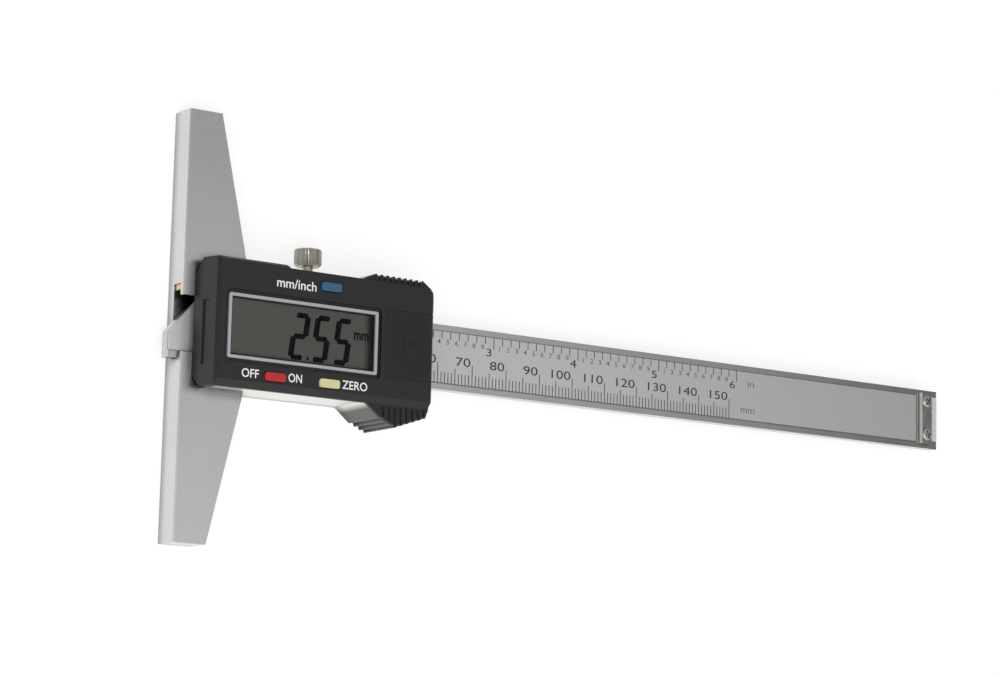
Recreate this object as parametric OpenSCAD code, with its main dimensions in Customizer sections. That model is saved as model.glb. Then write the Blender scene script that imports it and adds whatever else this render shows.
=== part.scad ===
// Digital depth gauge, 150 mm range, lying on its back with the display up.
// Origin: in the plane of the base's measuring face, on the beam's centre line, at the back.
// +X runs along the beam away from the measuring face, +Y to the lock screw's side, +Z out of the display.

/* [Base] */
// Length of the measuring face
base_len = 100; // [80:1:150]
// Depth of the base at its two ends, along the beam
base_end_depth = 8.3; // [6:0.1:11]
// Depth of the base where the slider joins it
base_mid_depth = 16.4; // [15.5:0.1:20]
// Thickness of the base, back to front
base_thick = 7.5; // [7.3:0.1:8]
// Chamfer along the base's long edges
base_chamfer = 0.3; // [0.1:0.05:0.5]

/* [Beam] */
// Reading at rest: how far the tip stands out of the measuring face
reading = 2.55; // [0:0.05:10]
// Measuring range
measuring_range = 150; // [100:10:200]
// Beam left beyond the measuring range: slider, stop plate and tail
beam_rest_len = 85.4; // [83:0.1:110]
// Width of the steel beam
beam_w = 15.8; // [15:0.1:16.2]
// Thickness of the steel beam
beam_t = 3; // [2.6:0.1:3.1]
// Height of the beam's back face above the slider's back
beam_back_z = 3.1; // [2.8:0.1:3.2]
// Width of the narrow measuring face at the beam's tip
tip_face_w = 6; // [4:0.1:9]
// Angle of the bevel at the tip, from the beam's length
tip_angle = 49; // [40:1:60]
// Width of the strip and film that are let into the beam's front
strip_w = 12.6; // [11:0.1:12.8]
// Depth of the beam's recess for the strip
strip_recess = 0.5; // [0.3:0.05:0.8]
// Thickness of the capacitive strip
stator_t = 0.4; // [0.2:0.05:0.5]
// Thickness of the printed scale film
film_t = 0.35; // [0.15:0.05:0.4]

/* [Stop plate] */
// Size of the stop plate along the beam
plate_len = 4.7; // [4:0.1:8]
// Size of the stop plate across the beam
plate_w = 13.8; // [13:0.1:14.6]
// Thickness of the stop plate
plate_t = 0.9; // [0.6:0.05:1.2]
// Distance from the stop plate to the beam's end
plate_to_end = 1.7; // [1:0.1:5]
// Diameter of the stop screws' heads
plate_head_d = 2.4; // [2:0.1:3]
// Distance between the two stop screws
plate_screw_pitch = 9; // [7:0.1:10]

/* [Slider frame] */
// Height of the slider's side walls
frame_h = 13; // [12.9:0.1:13.2]
// Thickness of the side walls around the electronics
frame_wall = 1.6; // [1.3:0.05:1.7]
// Thickness of the wall at the slider's far end
frame_end_wall = 1.2; // [0.8:0.1:1.4]
// Where the tongue over the base starts
tongue_start_x = 6.3; // [5.9:0.1:7.2]
// Height of the tongue's floor
tongue_floor_z = 10.4; // [10:0.1:11.2]
// Thickness of the lips that hold the beam down
lip_t = 0.74; // [0.6:0.02:0.8]
// Length of the thumb hook
hook_len = 17.5; // [15:0.5:20]
// How far the thumb hook stands out of the slider
hook_out = 5.3; // [4:0.1:7]
// Length of the thumb rest
rest_len = 20.1; // [16:0.5:20.5]
// How far the thumb rest stands out of the slider
rest_out = 2; // [1.6:0.1:3]
// Pitch of the grip's teeth
tooth_pitch = 1.6; // [1.2:0.1:2.5]
// Depth of the grip's teeth
tooth_depth = 0.5; // [0.2:0.05:0.6]

/* [Housing] */
// Height of the housing's front face above the slider's side walls
shell_rise = 2; // [1.9:0.1:2.6]
// How far the housing stands out past the slider's far end
shell_overhang = 0.4; // [0.1:0.1:1]
// Thickness of the housing's front wall
shell_wall = 1.6; // [1.3:0.05:1.7]
// How far the housing stands out past the slider on the plain side
shell_side_overhang = 0.2; // [0.1:0.05:0.6]
// How far the corner beside the lock screw stands out past the slider
ear_overhang = 0.9; // [0.8:0.05:1.6]
// Length of that corner, from the measuring face
ear_end_x = 23.7; // [18:0.1:28]
// Step down from that corner
ear_step = 0.75; // [0.2:0.05:0.75]
// Corner radius at the housing's far end
shell_corner_r = 1.6; // [0.5:0.1:3]

/* [Display] */
// Where the bezel starts, from the measuring face
bezel_x = 7.95; // [7.9:0.05:8.5]
// Length of the bezel
bezel_len = 40; // [36:0.1:40.2]
// Width of the bezel
bezel_w = 15; // [12:0.1:15.4]
// Breadth of the bezel's ring
bezel_ring = 1; // [0.6:0.05:1.5]
// Offset of the display's centre from the beam's centre line
display_y = -0.4; // [-0.6:0.05:0.4]
// Depth of the recess that the bezel lies in
surround_depth = 0.7; // [0.4:0.05:0.9]
// Breadth of the recess around the bezel
surround_gap = 0.9; // [0.3:0.05:0.9]
// Thickness of the display glass
glass_t = 1.6; // [1.2:0.1:2]
// Thickness of the circuit board
board_t = 0.8; // [0.6:0.1:1]

/* [Buttons] */
// Length of a button
button_len = 5.4; // [4:0.1:5.8]
// Width of a button
button_w = 2; // [1.5:0.1:2.1]
// How far a button stands out of the front face
button_rise = 0.5; // [0.5:0.05:0.9]
// How far a button travels
button_travel = 0.4; // [0.2:0.05:0.45]
// Width of the strip beside the display that holds the buttons
button_strip_w = 4.3; // [4.2:0.05:5]
// Distance of the unit button from the bezel's far end
button_mm_inch_inset = 13.35; // [6:0.05:14]
// Distance of the on and off button from the bezel's near end
button_on_off_inset = 12.45; // [5:0.05:13]
// Distance of the zero button from the bezel's far end
button_zero_inset = 13.05; // [6:0.05:14]

/* [Battery] */
// Diameter of the button cell
cell_d = 11.6; // [9.5:0.1:11.6]
// Height of the button cell
cell_h = 5.4; // [3:0.1:5.4]
// Distance from the display glass to the cell
cell_to_glass = 1.75; // [1.5:0.05:3]
// Width of the battery cover
cover_w = 15.6; // [13:0.1:16.4]
// Depth of the battery cover's slideway below the front face
cover_depth = 1.5; // [1.4:0.05:1.6]
// How far the battery cover slides out
cover_travel = 18; // [10:1:25]
// Height of the ribs on the battery cover
cover_rib_h = 0.25; // [0.1:0.05:0.4]

/* [Lock screw] */
// Distance from the near screw bosses to the lock screw
lock_from_boss = 6.7; // [4:0.1:10]
// Diameter of the knurled knob
knob_d = 6.5; // [5:0.1:8]
// Height of the knurled knob
knob_h = 4.1; // [3:0.1:6]
// Length of the lock screw's neck between the slider and the knob
lock_neck = 3.2; // [1.5:0.1:6]
// Diameter of the lock screw's shank
lock_shank_d = 2.6; // [2.2:0.1:2.8]
// Diameter of the pad's tip
pad_tip_d = 1.8; // [1.2:0.1:2]
// Gap between the pad and the beam when the lock is open
lock_gap = 0.24; // [0.2:0.01:0.3]

/* [Fits] */
// Sliding clearance of the beam
sliding_fit = 0.06; // [0.03:0.01:0.1]
// Running clearance of the lock screw in its bore
running_fit = 0.05; // [0.02:0.01:0.1]
// Clearance of a fastener in its own hole
screw_fit = 0.04; // [0.02:0.01:0.1]
// Clearance around a button
button_gap = 0.15; // [0.1:0.01:0.3]
// Clearance around the battery cover
cover_gap = 0.3; // [0.2:0.02:0.35]

/* [Hidden] */
$fn = 48;

// How far a cutter runs past the surface that it cuts
past = 1;

// Beam, strip and the slot that guides them
beam_front_z = beam_back_z + beam_t;
beam_mid_z = beam_back_z + beam_t / 2;
tip_x = -reading;
tail_x = tip_x + measuring_range + beam_rest_len;
strip_back_z = beam_front_z - strip_recess;
strip_front_z = strip_back_z + stator_t + film_t;
slot_low_y = -beam_w / 2 - sliding_fit;
gib_y = beam_w / 2 + sliding_fit;
gib_t = 1.34;
slot_high_y = gib_y + gib_t + screw_fit;
slot_back_z = beam_back_z - sliding_fit;
slot_front_z = beam_front_z + sliding_fit;
strip_window = strip_w / 2 + 0.25;
plate_x = tail_x - plate_to_end - plate_len;
plate_y = 0.25;
plate_screw_x = plate_x + plate_len / 2;
strip_end_x = plate_x - 1.2;

// Lengths along the slider: display, cell, far end
bezel_end_x = bezel_x + bezel_len;
glass_x = bezel_x + 0.3;
glass_end_x = bezel_end_x + 0.3;
glass_half_w = bezel_w / 2 + 0.5;
cell_x = glass_end_x + cell_to_glass + cell_d / 2;
cover_x = cell_x - cell_d / 2 + 0.4;
frame_end_x = cell_x + cell_d / 2 + 0.3 + frame_end_wall;
shell_end_x = frame_end_x + shell_overhang;
button_mm_inch_x = bezel_end_x - button_mm_inch_inset;
button_on_off_x = bezel_x + button_on_off_inset;
button_zero_x = bezel_end_x - button_zero_inset;

// Widths across the slider: display, buttons, walls
pocket_half_w = glass_half_w + abs(display_y) + button_strip_w;
frame_half_w = pocket_half_w + frame_wall;
shell_half_w = frame_half_w + shell_side_overhang;
ear_y = frame_half_w + ear_overhang;
button_y = pocket_half_w - button_w / 2 - 0.4;

// Slider frame
block_x = base_mid_depth + 0.02;
pocket_x = block_x + 2;
pocket_end_x = frame_end_x - frame_end_wall;
pocket_z = slot_front_z + lip_t;
board_z = pocket_z;
board_top_z = board_z + board_t;
tongue_z = base_thick + 0.02;
boss_r = 2.2;
boss_inset = [3.5, 1.9];
boss_y = pocket_half_w - boss_inset.y;
boss_near_x = (button_on_off_x + button_mm_inch_x) / 2;
boss_far_x = frame_end_x - boss_inset.x;
boss_places = [[boss_near_x, -boss_y], [boss_near_x, boss_y], [boss_far_x, -boss_y], [boss_far_x, boss_y]];

// Front face: clear of the side walls, and high enough for the cell on its contact
cell_play = 0.2;
contact_min_t = 0.2;
cell_stack_top_z = board_top_z + contact_min_t + cell_h + cell_play + cover_depth;
shell_top = max(frame_h + shell_rise, cell_stack_top_z);

// Thumb hook on the plain side, a low thumb rest on the lock screw's side
grip_cap_t = 0.9;
grip_root = 0.8;
hook_flank = [4, 3.2];
hook_peak_x = 8.4;
hook_heel = [0.8, 2.4];
rest_flank_x = 4.4;
rest_heel = [2.5, 0.1];
hook_start_x = frame_end_x - hook_len;
rest_start_x = frame_end_x - rest_len;
hook_root_y = frame_half_w - grip_root;
hook = [[hook_start_x, -hook_root_y], [hook_start_x, -frame_half_w],
    [hook_start_x + hook_flank.x, -frame_half_w - hook_flank.y],
    [hook_start_x + hook_peak_x, -frame_half_w - hook_out],
    [frame_end_x - hook_heel.x, -frame_half_w - hook_heel.y], [frame_end_x, -frame_half_w - 0.3],
    [frame_end_x, -hook_root_y]];
rest_pad = [[rest_start_x, hook_root_y], [rest_start_x, frame_half_w],
    [rest_start_x + rest_flank_x, frame_half_w + rest_out],
    [frame_end_x - rest_heel.x, frame_half_w + rest_out - rest_heel.y],
    [frame_end_x, frame_half_w + rest_heel.y], [frame_end_x, hook_root_y]];
grip_cap_z = frame_h + grip_cap_t;
groove_depth = 0.4;
groove_margin = 0.3;

// Fasteners
base_screw_x = 11.4;
base_screw_d = 2;
base_head_d = 3.6;
base_screw_y = pocket_half_w - base_head_d / 2;
base_head_h = 1.3;
base_screw_end_z = 2.6;
shell_screw_d = 1.9;
shell_head_d = 3.6;
shell_head_h = 1.1;
shell_screw_sink = 0.02;
shell_screw_end_z = frame_h + 1.2;
gib_screw_d = 2;
gib_screw_inset = 5.6;
gib_screw_gap = 2.4;
gib_screw_places = [block_x + gib_screw_inset, rest_start_x - gib_screw_gap];
gib_screw_sink = 0.3;
plate_screw_d = 1.4;
plate_screw_depth = 1.6;
plate_head_h = 0.45;

// Housing
cavity_z = shell_top - shell_wall;
cap_x = 2.9;
cap_z = base_thick + 0.08;
cap_inner_x = tongue_start_x - 0.05;
cap_ridge = [cap_x + 1.7, shell_top - 1.8];
cap_edge = [cap_x + 2, shell_top - 0.8];
cap_front_x = cap_x + 2.9;
cap_low_y = frame_half_w - 2.7;
cap_corner_z = 10;
cap_slot_low_z = 10.2;
cap_slot_high_z = 12;
cap_slot_y = [-9.5, 5.4];
cap_slot_depth = 0.5;
edge_chamfer_y = 1.6;
edge_chamfer_z = 1;
ear_chamfer = 0.5;
end_chamfer = 0.6;
surround_z = shell_top - surround_depth;

// Display
window_x = bezel_x + bezel_ring;
window_end_x = bezel_end_x - bezel_ring;
window_half_w = bezel_w / 2 - bezel_ring;
window_fit = 0.05;
window_top_z = shell_top - 0.35;
glass_z = cavity_z - glass_t;
board_gap = 0.2;
zebra_w = 1.2;
zebra_x = pocket_x + 2.1;
zebra_end_x = glass_end_x - 2;

// Buttons and switches
button_corner_r = 0.6;
button_top_z = shell_top + button_rise;
flange_t = 0.5;
flange_extra = 0.8;
flange_top_z = cavity_z - 0.05;
stem_len = 0.4;
stem_size = [2, 1.5];
switch_size = [3.2, 1.8];
switch_top_z = flange_top_z - flange_t - stem_len - button_travel - 0.05;

// Battery bay
cell_hole_d = cell_d + 0.6;
cover_floor_z = shell_top - cover_depth;
cell_z = cover_floor_z - cell_play - cell_h;
contact_t = cell_z - board_top_z;
cover_z = cover_floor_z + cover_gap;
cover_top_z = shell_top - 0.15;
rail_w = 0.6;
rail_t = 0.5;
rib_pitch = 1.4;
rib_w = 0.6;
rib_margin = 1.2;

// Lock screw and pad
lock_bore_d = lock_shank_d + 2 * running_fit;
pad_tip_hole_d = pad_tip_d + 0.3;
pad_tip_y = beam_w / 2 + lock_gap;
pad_shoulder_y = slot_high_y + 0.35;
pad_end_y = pad_shoulder_y + 1.9;
lock_x = boss_near_x + lock_from_boss;
knob_y = frame_half_w + lock_neck;
screw_tip_y = pad_end_y + 0.02;
knurl_count = 26;
knurl_r = 0.22;
knob_chamfer = 0.5;

// A block between two corners
module block(low, high) {
    translate(low)
        cube(high - low);
}

// A rectangle with round corners, centred on the origin
module round_rect(size, r) {
    square([size.x - 2 * r, size.y], center = true);
    square([size.x, size.y - 2 * r], center = true);
    for (sx = [-1, 1], sy = [-1, 1])
        translate([sx * (size.x / 2 - r), sy * (size.y / 2 - r)])
            circle(r);
}

// A profile drawn as x and z, extruded from y_low to y_high
module along_y(y_low, y_high) {
    translate([0, y_high, 0])
        rotate([90, 0, 0])
            linear_extrude(y_high - y_low)
                children();
}

// A profile drawn as y and z, extruded from x_low to x_high
module along_x(x_low, x_high) {
    translate([x_low, 0, 0])
        rotate([90, 0, 90])
            linear_extrude(x_high - x_low)
                children();
}

// A cylinder along +Y from y_low to y_high
module rod_y(x, z, d, y_low, y_high) {
    translate([x, y_low, z])
        rotate([-90, 0, 0])
            cylinder(d = d, h = y_high - y_low);
}

// Points of a toothed edge from a to b, cut in by depth to the side of inward
function toothed(a, b, inward, depth) =
    let (n = max(1, round(abs(b.x - a.x) / tooth_pitch)), step = (b - a) / n)
    [for (i = [0:n - 1], p = [a + step * (i + 0.2), a + step * (i + 0.4) + inward * depth,
        a + step * (i + 0.8) + inward * depth, a + step * (i + 1)]) p];

// Outline of the thumb hook
module hook_outline() {
    polygon(concat([hook[0], hook[1], hook[2]], toothed(hook[2], hook[3], [0.4, 0.9], tooth_depth),
        toothed(hook[3], hook[4], [0, 1], tooth_depth), [hook[5], hook[6]]));
}

// Outline of the low thumb rest
module rest_outline() {
    polygon(concat([rest_pad[0], rest_pad[1], rest_pad[2]],
        toothed(rest_pad[2], rest_pad[3], [0, -1], tooth_depth), [rest_pad[4], rest_pad[5]]));
}

// Plan of the base: the back edge slopes from the ends to the slider
module base_plan() {
    polygon([[0, -base_len / 2], [base_end_depth, -base_len / 2], [base_mid_depth, -frame_half_w - 0.6],
        [base_mid_depth, frame_half_w + 0.6], [base_end_depth, base_len / 2], [0, base_len / 2]]);
}

// Section of the base with its edges chamfered
module base_section() {
    polygon([[base_chamfer, 0], [base_mid_depth, 0], [base_mid_depth, base_thick],
        [base_chamfer, base_thick], [0, base_thick - base_chamfer], [0, base_chamfer]]);
}

// The beam's slot with the gib's place and the window over the strip
module beam_slot(x_low, x_high, top_z) {
    block([x_low, slot_low_y, slot_back_z], [x_high, slot_high_y, slot_front_z]);
    block([x_low, -strip_window, slot_back_z], [x_high, strip_window, top_z]);
}

module base_bar() {
    color("gainsboro")
        difference() {
            intersection() {
                linear_extrude(base_thick)
                    base_plan();
                along_y(-base_len / 2 - past, base_len / 2 + past)
                    base_section();
            }
            beam_slot(-past, base_mid_depth + past, base_thick + past);
            for (side = [-1, 1])
                translate([base_screw_x, side * base_screw_y, base_screw_end_z])
                    cylinder(d = base_screw_d + 2 * screw_fit, h = base_thick);
        }
}

module slider_frame() {
    color("silver")
        difference() {
            union() {
                block([block_x, -frame_half_w, 0], [frame_end_x, frame_half_w, frame_h]);
                block([tongue_start_x, -frame_half_w, tongue_z], [block_x + past, frame_half_w, frame_h]);
                linear_extrude(frame_h)
                    hook_outline();
                linear_extrude(frame_h)
                    rest_outline();
            }
            beam_slot(block_x - past, frame_end_x + past, slot_front_z + past / 10);
            block([block_x - past, -strip_window, slot_back_z],
                [pocket_end_x, strip_window, pocket_z + past]);
            block([frame_end_x - frame_end_wall - past, -strip_window, slot_back_z],
                [frame_end_x + past, strip_window, strip_front_z + 0.3]);
            difference() {
                block([pocket_x, -pocket_half_w, pocket_z], [pocket_end_x, pocket_half_w, frame_h + past]);
                for (place = boss_places)
                    translate([place.x, place.y, 0])
                        cylinder(r = boss_r, h = frame_h);
            }
            block([tongue_start_x - past, -pocket_half_w, tongue_floor_z],
                [pocket_x + past, pocket_half_w, frame_h + past]);
            for (side = [-1, 1])
                translate([base_screw_x, side * base_screw_y, 0]) {
                    cylinder(d = base_screw_d + 2 * screw_fit, h = frame_h);
                    translate([0, 0, tongue_floor_z - base_head_h])
                        cylinder(d = base_head_d + 2 * screw_fit, h = frame_h);
                }
            for (place = boss_places)
                translate([place.x, place.y, 0])
                    shell_screw_shape(screw_fit, frame_h + past);
            for (x = gib_screw_places)
                rod_y(x, beam_mid_z, gib_screw_d + 2 * screw_fit, slot_high_y - past, frame_half_w + past);
            rod_y(lock_x, beam_mid_z, lock_bore_d, slot_high_y - past, frame_half_w + past);
        }
}

module gib_strip() {
    color("peru")
        difference() {
            block([0.3, gib_y, slot_back_z + screw_fit],
                [pocket_end_x, gib_y + gib_t, slot_front_z - screw_fit]);
            rod_y(lock_x, beam_mid_z, pad_tip_hole_d, gib_y - past, slot_high_y + past);
        }
}

module gib_screws() {
    color("dimgray")
        for (x = gib_screw_places)
            difference() {
                rod_y(x, beam_mid_z, gib_screw_d, gib_y + gib_t, frame_half_w - gib_screw_sink);
                block([x - gib_screw_d, frame_half_w - gib_screw_sink - 0.5, beam_mid_z - 0.15],
                    [x + gib_screw_d, frame_half_w, beam_mid_z + 0.15]);
            }
}

module base_screws() {
    color("dimgray")
        for (side = [-1, 1])
            translate([base_screw_x, side * base_screw_y, 0])
                difference() {
                    union() {
                        translate([0, 0, base_screw_end_z + screw_fit])
                            cylinder(d = base_screw_d, h = tongue_floor_z - base_screw_end_z - screw_fit);
                        translate([0, 0, tongue_floor_z - base_head_h])
                            cylinder(d = base_head_d, h = base_head_h);
                    }
                    translate([0, 0, tongue_floor_z - base_head_h / 2])
                        cylinder(d = base_screw_d * 0.9, h = base_head_h, $fn = 6);
                }
}

// A countersunk screw from the back, larger all round by extra, up to top_z
module shell_screw_shape(extra, top_z) {
    sink = extra > 0 ? 0 : shell_screw_sink;
    translate([0, 0, sink])
        cylinder(d1 = shell_head_d + 2 * extra, d2 = shell_screw_d + 2 * extra, h = shell_head_h);
    translate([0, 0, sink])
        cylinder(d = shell_screw_d + 2 * extra, h = top_z - sink);
}

module housing_screws() {
    color("dimgray")
        for (place = boss_places)
            translate([place.x, place.y, 0])
                difference() {
                    shell_screw_shape(0, shell_screw_end_z);
                    for (turn = [0, 90])
                        rotate(turn)
                            block([-0.9, -0.2, -past], [0.9, 0.2, 0.6]);
                }
}

// Plan of the housing: a wider corner beside the lock screw, round far corners
module shell_plan() {
    side_y = ear_y - ear_step;
    translate([0, -shell_half_w])
        square([shell_end_x - shell_corner_r, shell_half_w + side_y]);
    translate([0, -shell_half_w + shell_corner_r])
        square([shell_end_x, shell_half_w + side_y - 2 * shell_corner_r]);
    for (y = [-shell_half_w + shell_corner_r, side_y - shell_corner_r])
        translate([shell_end_x - shell_corner_r, y])
            circle(shell_corner_r);
    polygon([[0, 0], [0, ear_y], [ear_end_x - ear_step, ear_y], [ear_end_x, side_y], [ear_end_x, 0]]);
}

// Side profile of the housing: front wall and the leaning wall at the measuring end
module shell_side_profile() {
    polygon([[cap_x, cap_z], cap_ridge, cap_edge, [cap_front_x, shell_top],
        [shell_end_x - end_chamfer, shell_top], [shell_end_x, shell_top - end_chamfer],
        [shell_end_x, frame_h], [cap_inner_x, frame_h], [cap_inner_x, cap_z]]);
}

// End profile of the housing: long chamfered edges
module shell_end_profile() {
    polygon([[-cap_low_y, cap_z], [-shell_half_w, cap_corner_z], [-shell_half_w, shell_top - edge_chamfer_z],
        [-shell_half_w + edge_chamfer_y, shell_top], [ear_y - ear_chamfer, shell_top],
        [ear_y, shell_top - ear_chamfer], [ear_y, cap_corner_z], [cap_low_y, cap_z]]);
}

// The shallow slot in the leaning wall
module cap_slot() {
    lean = (cap_ridge.x - cap_x) / (cap_ridge.y - cap_z);
    along_y(cap_slot_y[0], cap_slot_y[1])
        polygon([[cap_x - past, cap_slot_low_z],
            [cap_x + lean * (cap_slot_low_z - cap_z) + cap_slot_depth, cap_slot_low_z],
            [cap_x + lean * (cap_slot_high_z - cap_z) + cap_slot_depth, cap_slot_high_z],
            [cap_x - past, cap_slot_high_z]]);
}

// The place of a button on the front face
module at_button(x, side) {
    translate([x, side * button_y, 0])
        children();
}

// Grooves across the front of the thumb hook and rest, in line with their teeth
module grip_grooves() {
    for (x = [hook[2].x + tooth_pitch * 0.4:tooth_pitch:hook[4].x])
        block([x, hook[3].y - past, grip_cap_z - groove_depth],
            [x + tooth_pitch * 0.4, -shell_half_w - groove_margin, grip_cap_z + past]);
    for (x = [rest_pad[2].x + tooth_pitch * 0.4:tooth_pitch:rest_pad[3].x])
        block([x, ear_y - ear_step + groove_margin, grip_cap_z - groove_depth],
            [x + tooth_pitch * 0.4, rest_pad[2].y + past, grip_cap_z + past]);
}

module housing_shell() {
    color("#2b2b2e")
        difference() {
            union() {
                intersection() {
                    translate([0, 0, cap_z])
                        linear_extrude(shell_top - cap_z)
                            shell_plan();
                    along_y(-shell_half_w - past, ear_y + past)
                        shell_side_profile();
                    along_x(0, shell_end_x + past)
                        shell_end_profile();
                }
                difference() {
                    translate([0, 0, frame_h])
                        linear_extrude(grip_cap_z - frame_h) {
                            hook_outline();
                            rest_outline();
                        }
                    grip_grooves();
                }
            }
            cap_slot();
            // cavity over the display and the board, with the screw bosses left standing
            difference() {
                block([cap_inner_x + 0.6, -pocket_half_w + 0.2, frame_h - past],
                    [cover_x - 1.4, pocket_half_w - 0.2, cavity_z]);
                for (place = boss_places)
                    translate([place.x, place.y, 0])
                        cylinder(r = boss_r + 0.1, h = shell_top);
            }
            translate([bezel_x + bezel_len / 2, display_y, 0]) {
                translate([0, 0, surround_z])
                    linear_extrude(surround_depth + past)
                        round_rect([bezel_len + 2 * surround_gap, bezel_w + 2 * surround_gap], 1);
                translate([0, 0, frame_h])
                    linear_extrude(shell_top)
                        square([bezel_len - 2 * bezel_ring, bezel_w - 2 * bezel_ring], center = true);
            }
            for (b = [[button_mm_inch_x, 1], [button_on_off_x, -1], [button_zero_x, -1]])
                at_button(b[0], b[1])
                    linear_extrude(shell_top + past)
                        round_rect([button_len + 2 * button_gap, button_w + 2 * button_gap],
                            button_corner_r + button_gap);
            for (place = boss_places)
                translate([place.x, place.y, 0])
                    cylinder(d = shell_screw_d + 2 * screw_fit, h = shell_screw_end_z + 0.1);
            // battery bay, and the cover's slideway open to the far end
            translate([cell_x, 0, frame_h - past])
                cylinder(d = cell_hole_d, h = shell_top);
            block([cover_x - cover_gap, -cover_w / 2 - cover_gap, cover_floor_z],
                [shell_end_x + past, cover_w / 2 + cover_gap, shell_top + past]);
            block([cover_x - cover_gap, -cover_w / 2 - rail_w - cover_gap, cover_floor_z],
                [shell_end_x + past, cover_w / 2 + rail_w + cover_gap, cover_z + rail_t + cover_gap]);
        }
}

module bezel_frame() {
    color("lightgray")
        translate([bezel_x + bezel_len / 2, display_y, surround_z])
            difference() {
                linear_extrude(surround_depth - 0.05)
                    round_rect([bezel_len, bezel_w], 0.5);
                translate([0, 0, -past])
                    linear_extrude(surround_depth + 2 * past)
                        square([bezel_len - 2 * bezel_ring, bezel_w - 2 * bezel_ring], center = true);
            }
}

module lcd_window() {
    color("lightgray", 0.4)
        block([window_x + window_fit, display_y - window_half_w + window_fit, cavity_z],
            [window_end_x - window_fit, display_y + window_half_w - window_fit, window_top_z]);
}

module lcd_glass() {
    color("darkolivegreen")
        block([glass_x, display_y - glass_half_w, glass_z], [glass_end_x, display_y + glass_half_w, cavity_z]);
}

module zebra_strips() {
    color("dimgray")
        for (side = [-1, 1])
            translate([0, display_y + side * (glass_half_w - zebra_w), 0])
                block([zebra_x, -zebra_w / 2, board_top_z], [zebra_end_x, zebra_w / 2, glass_z]);
}

module circuit_board() {
    color("darkgreen")
        difference() {
            block([pocket_x + board_gap, -pocket_half_w + board_gap, board_z],
                [pocket_end_x - board_gap, pocket_half_w - board_gap, board_top_z]);
            for (place = boss_places)
                translate([place.x, place.y, 0])
                    cylinder(r = boss_r + board_gap, h = frame_h);
            for (side = [-1, 1])
                translate([boss_far_x, side * (boss_y + frame_wall) - frame_wall, 0])
                    cube([pocket_end_x - boss_far_x, 2 * frame_wall, frame_h]);
        }
}

module button_switches() {
    color("silver")
        for (b = [[button_mm_inch_x, 1], [button_on_off_x, -1], [button_zero_x, -1]])
            at_button(b[0], b[1])
                block([-switch_size.x / 2, -switch_size.y / 2, board_top_z],
                    [switch_size.x / 2, switch_size.y / 2, switch_top_z]);
}

module button_cell() {
    color("silver")
        translate([cell_x, 0, cell_z]) {
            cylinder(d = cell_d - 1.2, h = 0.4);
            translate([0, 0, 0.4])
                cylinder(d = cell_d, h = cell_h - 0.4);
        }
}

module contact_negative() {
    color("gold")
        translate([cell_x, 0, board_top_z])
            cylinder(d = cell_d * 0.6, h = contact_t);
}

module contact_positive() {
    color("gold") {
        x = cell_x - cell_d / 2;
        block([x - 0.4, -2, board_top_z], [x - 0.1, 2, cell_z + cell_h * 0.7]);
    }
}

module battery_cover() {
    color("#2b2b2e") {
        block([cover_x, -cover_w / 2, cover_z], [shell_end_x, cover_w / 2, cover_top_z]);
        block([cover_x, -cover_w / 2 - rail_w, cover_z], [shell_end_x - end_chamfer, cover_w / 2 + rail_w, cover_z + rail_t]);
        for (y = [-cover_w / 2 + rib_margin:rib_pitch:cover_w / 2 - rib_margin])
            block([cover_x + rib_margin / 2, y - rib_w / 2, cover_top_z - 0.1],
                [shell_end_x - rib_margin / 2, y + rib_w / 2, cover_top_z + cover_rib_h]);
    }
}

// A button: cap through the front wall, flange inside, stem over the switch
module push_button(x, side) {
    at_button(x, side) {
        translate([0, 0, flange_top_z - flange_t])
            linear_extrude(button_top_z - flange_top_z + flange_t)
                round_rect([button_len, button_w], button_corner_r);
        block([-button_len / 2 - flange_extra, -button_w / 2, flange_top_z - flange_t],
            [button_len / 2 + flange_extra, button_w / 2, flange_top_z]);
        block([-stem_size.x / 2, -stem_size.y / 2, flange_top_z - flange_t - stem_len],
            [stem_size.x / 2, stem_size.y / 2, flange_top_z - flange_t]);
    }
}

module button_mm_inch() {
    color("steelblue")
        push_button(button_mm_inch_x, 1);
}

module button_on_off() {
    color("firebrick")
        push_button(button_on_off_x, -1);
}

module button_zero() {
    color("khaki")
        push_button(button_zero_x, -1);
}

module lock_screw() {
    color("silver")
        translate([lock_x, 0, beam_mid_z])
            rotate([-90, 0, 0])
                difference() {
                    rotate_extrude()
                        polygon([[0, screw_tip_y], [lock_shank_d / 2, screw_tip_y],
                            [lock_shank_d / 2, knob_y], [knob_d / 2 - knob_chamfer, knob_y],
                            [knob_d / 2, knob_y + knob_chamfer],
                            [knob_d / 2, knob_y + knob_h - knob_chamfer / 2],
                            [knob_d / 2 - knob_chamfer / 2, knob_y + knob_h], [0, knob_y + knob_h]]);
                    for (i = [0:knurl_count - 1])
                        rotate(i * 360 / knurl_count)
                            translate([knob_d / 2, 0, knob_y + knob_chamfer])
                                cylinder(r = knurl_r, h = knob_h, $fn = 16);
                }
}

module lock_pad() {
    color("goldenrod") {
        rod_y(lock_x, beam_mid_z, pad_tip_d, pad_tip_y, pad_shoulder_y + 0.1);
        rod_y(lock_x, beam_mid_z, lock_shank_d, pad_shoulder_y, pad_end_y);
    }
}

// Plan of the beam, or of a strip on it: the tip is bevelled to a narrow measuring face
module beam_plan(half_w, end_x) {
    face_y = -beam_w / 2 + tip_face_w;
    bevel_x = tip_x + (half_w - face_y) / tan(tip_angle);
    polygon([[tip_x, -half_w], [end_x, -half_w], [end_x, half_w], [bevel_x, half_w], [tip_x, face_y]]);
}

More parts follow.
